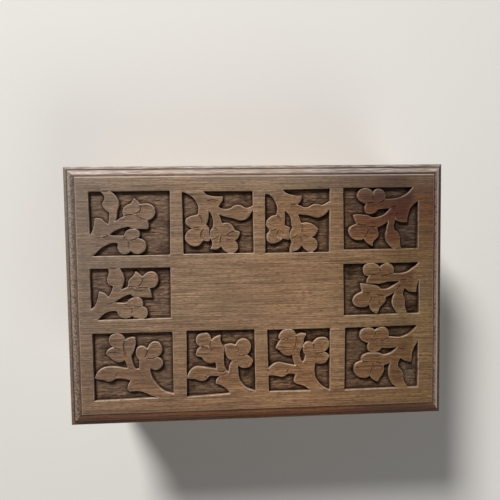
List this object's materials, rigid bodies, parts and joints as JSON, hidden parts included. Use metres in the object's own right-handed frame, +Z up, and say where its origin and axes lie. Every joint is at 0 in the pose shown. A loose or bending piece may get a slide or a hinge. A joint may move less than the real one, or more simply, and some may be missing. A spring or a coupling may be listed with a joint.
{
  "type": "wooden box",
  "caption": "Rectangular wooden box with dovetailed walls, a mitred plinth and a hinged moulded lid, carved with flowering sprigs in sunk panels round a plain centre.",
  "frame": {"origin": "centre of the box's footprint, on the surface it stands on", "axes": "+X along the length to the right, +Y to the hinged back, +Z up; the front faces -Y"},
  "size_m": [0.35, 0.238, 0.124],
  "materials": {
    "oak": "brown oak with a worn satin wax finish",
    "brass": "aged brass",
    "steel": "darkened steel"
  },
  "bodies": {
    "carcass": {"front_board": "oak", "back_board": "oak", "left_end_board": "oak", "right_end_board": "oak", "bottom_panel": "oak", "plinth_front": "oak", "plinth_back": "oak", "plinth_left": "oak", "plinth_right": "oak", "plinth_brads": "steel", "hinge_left_body_leaf": "brass", "hinge_left_body_screws": "brass", "hinge_left_pin": "brass", "hinge_right_body_leaf": "brass", "hinge_right_body_screws": "brass", "hinge_right_pin": "brass"},
    "lid": {"lid_board": "oak", "hinge_left_lid_leaf": "brass", "hinge_left_lid_screws": "brass", "hinge_right_lid_leaf": "brass", "hinge_right_lid_screws": "brass"}
  },
  "joints": [
    {"name": "lid_hinge", "type": "hinge", "parent": "carcass", "child": "lid", "pos_m": [0, 0.1119, 0.108], "axis": [-1, 0, 0], "range_deg": [0, 104]}
  ]
}
